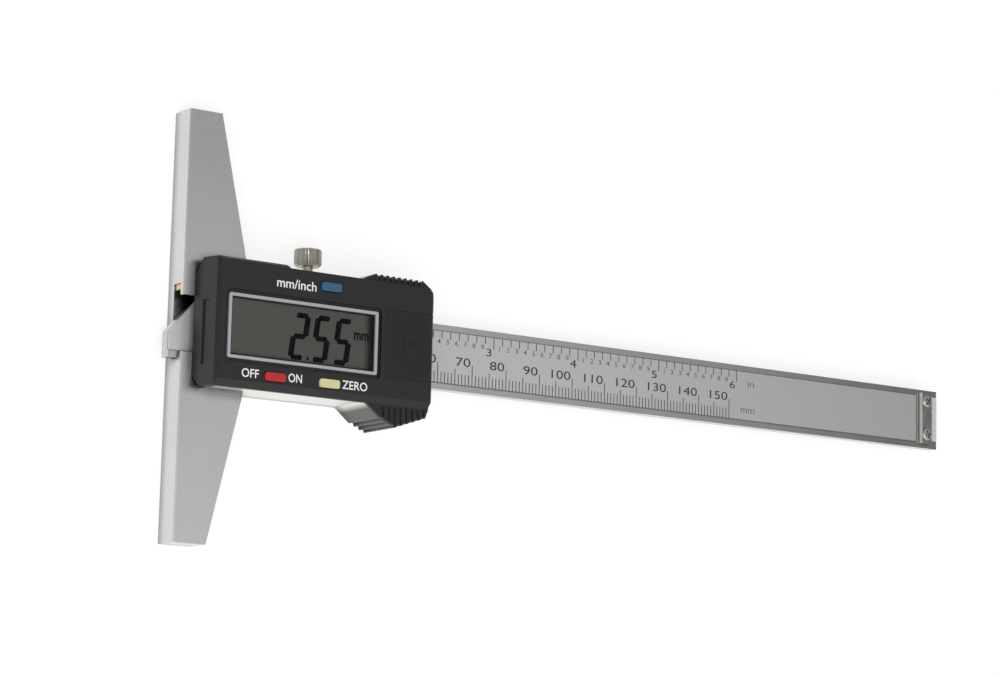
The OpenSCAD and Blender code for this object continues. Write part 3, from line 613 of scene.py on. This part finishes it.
housing_mesh = cut_from(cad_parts["housing_shell"].data,
                        [corner_cutter(HOUSING_END, y, CORNER_R, CAP_TOP, housing_high[2] + CUT_MARGIN)
                         for y in HOUSING_SIDES])
housing = piece("housing_rounded", housing_mesh, "slider", black_abs)
housing_mesh.materials.append(polished_shaded_abs)
# Faces looking back along the beam at the leaning wall take the polished plastic, with its painted shade
for face in housing_mesh.polygons:
    if face.normal.x < LEANING_NORMAL and face.center.x < END_WALL_X * MM:
        face.material_index = 1
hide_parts("housing_shell")

# The battery cover: it fills its slideway nearly flush, its ribs are fine and its far end is chamfered
cover_low, cover_high = in_mm(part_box("battery_cover"))
cell_low, cell_high = in_mm(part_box("button_cell"))
BAY_MARGIN = 0.24
COVER_FIT = 0.24
COVER_RAIL_W = 0.6
COVER_RAIL_T = 0.5
COVER_RAIL_LIFT = 0.01
COVER_CHAMFER = 0.6
COVER_DROP = 0.03
COVER_FLUSH = housing_high[2] - COVER_DROP
RIB_PITCH = 1.2
RIB_W = 0.5
RIB_START = 1.0
RIB_EDGE = 0.9
RIB_SINK = 0.02
RIB_SLOPE = 0.15
TONGUE_STEPS = 8


def cover_mesh():
    """Body, the two rails as one plate, ribs with sloping ends, and a curved tongue over the cell's bay."""
    bm = bmesh.new()
    start, end, base = cover_low[0] - COVER_FIT, cover_high[0], cover_low[2]
    half = cover_high[1] - COVER_RAIL_W + COVER_FIT
    along_y(bm, [(start, base), (end, base), (end, COVER_FLUSH - COVER_CHAMFER),
                 (end - COVER_CHAMFER, COVER_FLUSH), (start, COVER_FLUSH)], -half, half)
    along_y(bm, bar(cover_low[0], end - COVER_CHAMFER, base + COVER_RAIL_LIFT, base + COVER_RAIL_T),
            cover_low[1], cover_high[1])
    rib_top, rib_foot = cover_high[2], COVER_FLUSH - RIB_SINK
    count = int((2 * half - 2 * RIB_EDGE) / RIB_PITCH)
    for i in range(count + 1):
        y = (i - count / 2) * RIB_PITCH
        along_y(bm, [(start + RIB_START, rib_foot), (end - COVER_CHAMFER, rib_foot),
                     (end - COVER_CHAMFER - RIB_SLOPE, rib_top), (start + RIB_START + RIB_SLOPE, rib_top)],
                y - RIB_W / 2, y + RIB_W / 2)
    radius = (cell_high[0] - cell_low[0]) / 2 + BAY_MARGIN
    middle = (cell_high[0] + cell_low[0]) / 2
    spread_angle = math.acos((middle - start) / radius)
    tongue = [(middle - radius * math.cos(spread_angle * t / TONGUE_STEPS),
               radius * math.sin(spread_angle * t / TONGUE_STEPS))
              for t in range(-TONGUE_STEPS, TONGUE_STEPS + 1)]
    upright(bm, tongue, base, COVER_FLUSH)
    return closed_mesh(bm, "cover_ribbed")


cover = piece("cover_ribbed", cover_mesh(), "battery_cover", cover_abs)
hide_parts("battery_cover")

# The stop screws: broad oval heads with cross slots, over their shanks
plate_low, plate_high = in_mm(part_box("end_plate"))
screws_low, screws_high = in_mm(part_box("end_plate_screws"))
SCREW_HEAD_D = 3.2
SCREW_SHANK_D = 1.4
SCREW_SLOT = (2.2, 0.42)
SCREW_SLOT_FLOOR = 0.1
SCREW_TURNS = (20, 48)
# The head's section, in shares of its radius: the rim's height over the seat, then depths below the top
SCREW_RIM = (0.97, 0.2)
SCREW_DOME = ((0.85, 0.07), (0.65, 0.01), (0.5, 0))


def stop_screws():
    """Both screws, with the cross slots cut into their heads."""
    seat, top = plate_high[2], screws_high[2]
    middle_x = (screws_low[0] + screws_high[0]) / 2
    head_r, shank_r = SCREW_HEAD_D / 2, SCREW_SHANK_D / 2
    old_head_r = (screws_high[0] - screws_low[0]) / 2
    half_l, half_w = SCREW_SLOT[0] / 2, SCREW_SLOT[1] / 2
    profile = [(shank_r, screws_low[2]), (shank_r, seat), (head_r, seat),
               (head_r * SCREW_RIM[0], seat + SCREW_RIM[1])]
    profile += [(head_r * share, top - depth) for share, depth in SCREW_DOME]
    bm = bmesh.new()
    slots = []
    for middle_y, first_turn in zip((screws_low[1] + old_head_r, screws_high[1] - old_head_r), SCREW_TURNS):
        turned(bm, (middle_x, middle_y), profile)
        for turn in (first_turn, first_turn + 90):
            slot = prism(bar(-half_l, half_l, -half_w, half_w), seat + SCREW_SLOT_FLOOR, top + CUT_MARGIN)
            slot.transform(Matrix.Translation((middle_x * MM, middle_y * MM, 0))
                           @ Matrix.Rotation(math.radians(turn), 4, "Z"))
            slots.append(slot)
    return cut_from(closed_mesh(bm, "stop_screws"), slots)


screws = piece("stop_screws", stop_screws(), "beam", nickel_shaded_slots)
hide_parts("end_plate_screws")

# The stop plate: its near edge is rolled over and shines, its far corners are round
BEAM_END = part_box("beam")[1][0] / MM
PLATE_END = 230.55
PLATE_ROLL = 0.6
PLATE_CORNER = 0.9
PLATE_BREAK = 0.1


def stop_plate():
    """The plate's section carried across the beam, less its round corners."""
    low_z, top = plate_low[2], plate_high[2]
    sides = (plate_low[1], plate_high[1])
    roll = [(plate_low[0] + PLATE_ROLL * (1 - math.cos(a)), top - PLATE_ROLL * (1 - math.sin(a)))
            for a in map(math.radians, range(0, 91, 15))]
    far = [(PLATE_END - PLATE_BREAK, top), (PLATE_END, top - PLATE_BREAK), (PLATE_END, low_z)]
    bm = bmesh.new()
    along_y(bm, [(plate_low[0], low_z)] + roll + far, *sides)
    return cut_from(closed_mesh(bm, "stop_plate"),
                    [corner_cutter(PLATE_END, y, PLATE_CORNER, low_z - CUT_MARGIN, top + CUT_MARGIN)
                     for y in sides])


plate = piece("stop_plate", stop_plate(), "beam", stamped_steel)
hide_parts("end_plate")

# Its thin far flange, bead-blasted, over the beam's end
FLANGE_T = 0.25
FLANGE_MARGIN = 0.12
FLANGE_GAP = 0.02
FLANGE_INSET = 0.9
print_of("stop_plate_flange",
         [bar(PLATE_END + FLANGE_GAP, BEAM_END - FLANGE_MARGIN,
              plate_low[1] + FLANGE_INSET, plate_high[1] - FLANGE_INSET)],
         plate_low[2], FLANGE_T, "beam", blasted_steel)

# ---------------------------------------------------------------- scale on the beam

FILM_END, FILM_EDGE, FILM_TOP = in_mm(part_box("scale_film"))[1]
# The scale is read at the index place, and shows this reading at rest
INDEX_X = 13.0
READING = 2.55
ZERO_X = INDEX_X - READING
RANGE_MM = 150
INCH = 25.4
RANGE_INCH = 6
INK_T = 0.006
TICK_W = 0.22
MM_TICK_AT_TEN = 5.0
MM_TICK_AT_FIVE = 3.7
MM_TICK = 2.6
INCH_TICK_AT_WHOLE = 2.8
INCH_TICK = 1.8
# Rows of figures: how far each ends before its mark, then baseline, height and stretch
MM_FIGURES = (0.45, -1.7, 2.1, 1.5)
INCH_FIGURES = (0.35, 1.6, 1.9, 1.5)
TENTH_FIGURES = (0.25, 3.15, 1.15, 1.3)
TENTH_WEIGHT = 0.01
# Words on the film: middle, baseline, height and stretch
SCALE_UNITS = (("in", 167.6, 2.4, 1.8, 1.35), ("mm", 166.6, -4.5, 1.9, 1.15))
# The lines along the film's edges: where they start before zero, their width outside and inside the edge,
# and their thickness from just above the film down its side
EDGE_LINE_START = 6
EDGE_LINE_OUT = 0.1
EDGE_LINE_IN = 0.06
EDGE_LINE_DROP = 0.24
EDGE_LINE_T = 0.245


def mm_ticks():
    """Millimetre marks standing on the lower edge: longer at 5 and longest at 10."""
    marks = []
    for v in range(RANGE_MM + 1):
        length = MM_TICK_AT_TEN if v % 10 == 0 else MM_TICK_AT_FIVE if v % 5 == 0 else MM_TICK
        x = ZERO_X + v
        marks.append(bar(x - TICK_W / 2, x + TICK_W / 2, -FILM_EDGE, -FILM_EDGE + length))
    return marks


def inch_ticks():
    """Tenths of an inch hanging from the upper edge, longer at the whole inch."""
    marks = []
    for v in range(RANGE_INCH * 10 + 1):
        length = INCH_TICK_AT_WHOLE if v % 10 == 0 else INCH_TICK
        x = ZERO_X + v * INCH / 10
        marks.append(bar(x - TICK_W / 2, x + TICK_W / 2, FILM_EDGE - length, FILM_EDGE))
    return marks


def figure(number, mark_x, row, weight=0.0):
    """A number of the scale, which ends a little before its mark."""
    before, baseline, height, stretch = row
    return letters(str(number), mark_x - before, baseline, height, "RIGHT", stretch, weight)


print_of("scale_mm_ticks", mm_ticks(), FILM_TOP, INK_T, "beam", ink_dark)
print_of("scale_inch_ticks", inch_ticks(), FILM_TOP, INK_T, "beam", ink_dark)
lettering("scale_mm_numbers",
          [figure(v, ZERO_X + v, MM_FIGURES) for v in range(10, RANGE_MM + 1, 10)],
          FILM_TOP, "beam", ink_dark)
lettering("scale_inch_numbers",
          [figure(v, ZERO_X + v * INCH, INCH_FIGURES) for v in range(1, RANGE_INCH + 1)],
          FILM_TOP, "beam", ink_dark)
lettering("scale_tenth_numbers",
          [figure(v % 10, ZERO_X + v * INCH / 10, TENTH_FIGURES, TENTH_WEIGHT)
           for v in range(1, RANGE_INCH * 10) if v % 10],
          FILM_TOP, "beam", ink_faint)
lettering("scale_units", words(SCALE_UNITS), FILM_TOP, "beam", ink_faint)
print_of("scale_edge_lines",
         [bar(ZERO_X - EDGE_LINE_START, FILM_END, -FILM_EDGE - EDGE_LINE_OUT, -FILM_EDGE + EDGE_LINE_IN),
          bar(ZERO_X - EDGE_LINE_START, FILM_END, FILM_EDGE - EDGE_LINE_IN, FILM_EDGE + EDGE_LINE_OUT)],
         FILM_TOP - EDGE_LINE_DROP, EDGE_LINE_T, "beam", ink_faint)

# ---------------------------------------------------------------- housing's printed labels

FRONT = in_mm(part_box("housing_shell"))[1][2]
LABEL_WEIGHT = 0.03
# Each label's words: middle, baseline, height and stretch
LABELS = {
    "label_units": [("mm/inch", 25.4, 9.8, 2.15, 1.0)],
    "label_on_off": [("OFF", 13.95, -12.0, 1.95, 0.93), ("ON", 25.85, -11.95, 1.95, 0.85)],
    "label_zero": [("ZERO", 41.95, -12.05, 1.95, 0.95)],
}
for label, rows in LABELS.items():
    lettering(label, words(rows, LABEL_WEIGHT), FRONT, "slider", ink_white)

# ---------------------------------------------------------------- display

DISPLAY_LIFT = 0.02
DISPLAY_Z = in_mm(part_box("lcd_glass"))[1][2] + DISPLAY_LIFT
DISPLAY_INK_T = 0.01
POLARISER_DROP = 0.015
POLARISER_LAP = 0.04
DIGIT_W = 4.7
DIGIT_TOP = 4.7
DIGIT_LOW = -6.4
DIGIT_LEAN = 0.13
STROKE_UP = 1.5
STROKE_ACROSS = 1.25
SEGMENT_TIP = 0.4
SEGMENT_GAP = 0.05
# A digit's lit segments: a is the top one, b to f follow clockwise, and g is in the middle
LIT = {"2": "abged", "5": "afgcd"}
# The reading 2.55, where the digits' lower left corners and the point's middle stand on the glass
DIGITS = (("2", 24.4), ("5", 30.3), ("5", 36.05))
POINT_X = 29.75
POINT_Y = -5.8
POINT_R = 0.36
UNIT_MARK = (("mm", 44.2, 0.15, 2.4, 0.78),)
UNIT_WEIGHT = 0.1


def leaning(x, y):
    """A point of the display, leaning right with its height."""
    return (x + (y - DIGIT_LOW) * DIGIT_LEAN, y)


def segment_bar(start, end):
    """A segment between two points: a bar with blunt points for ends, stouter where it stands upright."""
    a, b = Vector(start), Vector(end)
    along = (b - a).normalized()
    half = (STROKE_ACROSS if abs(along.x) > 0.5 else STROKE_UP) / 2
    across = Vector((-along.y, along.x)) * half
    shoulder = along * half * SEGMENT_TIP
    gap = along * SEGMENT_GAP
    a, b = a + gap, b - gap
    return [leaning(*p) for p in (a, a + shoulder - across, b - shoulder - across, b,
                                  b - shoulder + across, a + shoulder + across)]


def digit(mark, x):
    """The lit segments of a digit whose lower left corner is at x."""
    left, right = x + STROKE_UP / 2, x + DIGIT_W - STROKE_UP / 2
    low, top = DIGIT_LOW + STROKE_ACROSS / 2, DIGIT_TOP - STROKE_ACROSS / 2
    middle = (DIGIT_LOW + DIGIT_TOP) / 2
    ends = {"a": ((left, top), (right, top)), "b": ((right, middle), (right, top)),
            "c": ((right, low), (right, middle)), "d": ((left, low), (right, low)),
            "e": ((left, low), (left, middle)), "f": ((left, middle), (left, top)),
            "g": ((left, middle), (right, middle))}
    return [segment_bar(*ends[name]) for name in LIT[mark]]


segments = [segment for mark, x in DIGITS for segment in digit(mark, x)]
segments.append([leaning(POINT_X + POINT_R * math.cos(t * math.pi / 6),
                         POINT_Y + POINT_R * math.sin(t * math.pi / 6)) for t in range(12)])
panel = bar(bezel_low[0] + BEZEL_INNER - POLARISER_LAP, bezel_high[0] - BEZEL_INNER + POLARISER_LAP,
            bezel_low[1] + BEZEL_INNER - POLARISER_LAP, bezel_high[1] - BEZEL_INNER + POLARISER_LAP)
print_of("lcd_polariser", [panel], DISPLAY_Z - POLARISER_DROP, DISPLAY_INK_T,
         "slider", polariser)
print_of("lcd_segments", segments, DISPLAY_Z, DISPLAY_INK_T, "slider", segment_dye)
lettering("lcd_unit_mark", words(UNIT_MARK, UNIT_WEIGHT), DISPLAY_Z, "slider", segment_dye)

# ---------------------------------------------------------------- mark on the battery cover

# An upright line, then an arrow away from it: shaft and head
COVER_MARK = [bar(54.95, 55.3, -1.2, 2.2), bar(55.6, 57.2, 0.3, 0.8),
              [(57.2, -0.1), (58.5, 0.55), (57.2, 1.2)]]
COVER_MARK_T = 0.01
print_of("cover_slide_mark", COVER_MARK, cover_high[2], COVER_MARK_T,
         "battery_cover", ink_black_gloss)

# ---------------------------------------------------------------- studio

CAMERA_PLACE = (-312.74, -109.61, 591.15)
CAMERA_RIGHT = (0.8222, 0.0238, 0.5687)
CAMERA_UP = (-0.1112, 0.9866, 0.1194)
CAMERA_LENS = 105.79
SENSOR_W = 36.0
CLIP_START_M = 0.01
FLOOR_SIZE_M = 6.0
FLOOR_GAP = 0.02
FLOOR_GLOW = 0.76
LAMP_PLACE = (-500, -500, 900)
LAMP_AIM = (60, 0, 0)
LAMP_SIZE = 700
LAMP_WATTS = 5.0
# The room's brightness by direction: it fades from the front to the back, and past the beam's far end
ROOM_FRONT = {"From Min": 0.4, "From Max": -0.1, "To Min": 0.04, "To Max": 1.3}
ROOM_FAR = {"From Min": 0.58, "From Max": 0.69, "To Min": 1.02, "To Max": 0.0}
ROOM_LIMIT = 1.0
# Beyond each dim band stands a lit wall: its axis, where the band ends and where the wall is full
ROOM_WALLS = (("Y", 0.36, 0.6), ("X", 0.8, 0.95))
WALL_LEVEL = 0.7

camera_data = bpy.data.cameras.new("camera")
camera_data.lens = CAMERA_LENS
camera_data.sensor_width = SENSOR_W
camera_data.sensor_fit = "HORIZONTAL"
camera_data.clip_start = CLIP_START_M
camera = bpy.data.objects.new("camera", camera_data)
bpy.context.collection.objects.link(camera)
right = Vector(CAMERA_RIGHT).normalized()
up = (Vector(CAMERA_UP) - right * right.dot(Vector(CAMERA_UP))).normalized()
back = right.cross(up)
turn = Matrix((right, up, back)).transposed().to_4x4()
camera.matrix_world = Matrix.Translation(Vector(CAMERA_PLACE) * MM) @ turn
bpy.context.scene.camera = camera


def studio_floor():
    """A white sheet under the gauge: it glows white to the camera, in metal and through glass, and keeps
    the soft shadow."""
    bm = bmesh.new()
    bmesh.ops.create_grid(bm, x_segments=2, y_segments=2, size=FLOOR_SIZE_M)
    bmesh.ops.translate(bm, verts=bm.verts, vec=(0, 0, cad_box[0][2] - FLOOR_GAP * MM))
    mesh = bpy.data.meshes.new("floor")
    bm.to_mesh(mesh)
    bm.free()
    material, tree, _, _ = new_material("studio_paper_white")
    seen = add(tree, "ShaderNodeLightPath")
    glow_share = seen.outputs["Is Camera Ray"]
    for ray in ("Is Glossy Ray", "Is Transmission Ray"):
        glow_share = add(tree, "ShaderNodeMath", {"operation": "MAXIMUM"}, _0=glow_share,
                         _1=seen.outputs[ray]).outputs[0]
    glow = add(tree, "ShaderNodeEmission", {"Color": srgb(STUDIO_WHITE)},
               Strength=spread(tree, glow_share, 0.0, FLOOR_GLOW))
    paper = add(tree, "ShaderNodeBsdfDiffuse", {"Color": srgb(STUDIO_PAPER)})
    both = add(tree, "ShaderNodeAddShader", None, _0=glow.outputs[0], _1=paper.outputs[0])
    tree.links.new(both.outputs[0], tree.nodes["Material Output"].inputs["Surface"])
    floor = bpy.data.objects.new("floor", mesh)
    mesh.materials.append(material)
    bpy.context.collection.objects.link(floor)


def softbox(name, place, aim, size, watts):
    """A square soft light at a place, facing the aim, both in millimetres."""
    light = bpy.data.lights.new(name, "AREA")
    light.shape = "SQUARE"
    light.size = size * MM
    light.energy = watts
    obj = bpy.data.objects.new(name, light)
    direction = Vector(aim) - Vector(place)
    facing = direction.to_track_quat("-Z", "Y").to_matrix().to_4x4()
    obj.matrix_world = Matrix.Translation(Vector(place) * MM) @ facing
    bpy.context.collection.objects.link(obj)


def studio_world():
    """Room light, bright from the front, with dim bands to the back and past the beam's far end."""
    world = bpy.data.worlds.new("studio_room")
    bpy.context.scene.world = world
    world.use_nodes = True
    tree = world.node_tree
    ray = add(tree, "ShaderNodeTexCoord").outputs["Generated"]
    split = add(tree, "ShaderNodeSeparateXYZ", None, Vector=ray)
    front = add(tree, "ShaderNodeMapRange", ROOM_FRONT, Value=split.outputs["Y"]).outputs["Result"]
    far = add(tree, "ShaderNodeMapRange", ROOM_FAR, Value=split.outputs["X"]).outputs["Result"]
    front = add(tree, "ShaderNodeMath", {"operation": "MINIMUM", 1: ROOM_LIMIT}, _0=front).outputs[0]
    room = add(tree, "ShaderNodeMath", {"operation": "MULTIPLY"}, _0=front, _1=far).outputs[0]
    for axis, band_end, wall_full in ROOM_WALLS:
        lit = add(tree, "ShaderNodeMapRange",
                  {"From Min": band_end, "From Max": wall_full, "To Max": WALL_LEVEL},
                  Value=split.outputs[axis]).outputs["Result"]
        room = add(tree, "ShaderNodeMath", {"operation": "MAXIMUM"}, _0=room, _1=lit).outputs[0]
    seen = add(tree, "ShaderNodeLightPath").outputs["Is Camera Ray"]
    strength = add(tree, "ShaderNodeMix", {3: 1.0}, _0=seen, _2=room).outputs[0]
    background = tree.nodes["Background"]
    background.inputs["Color"].default_value = srgb(STUDIO_WHITE)
    tree.links.new(strength, background.inputs["Strength"])


studio_floor()
studio_world()
softbox("key_softbox", LAMP_PLACE, LAMP_AIM, LAMP_SIZE, LAMP_WATTS)

bpy.context.scene.view_settings.view_transform = "Standard"
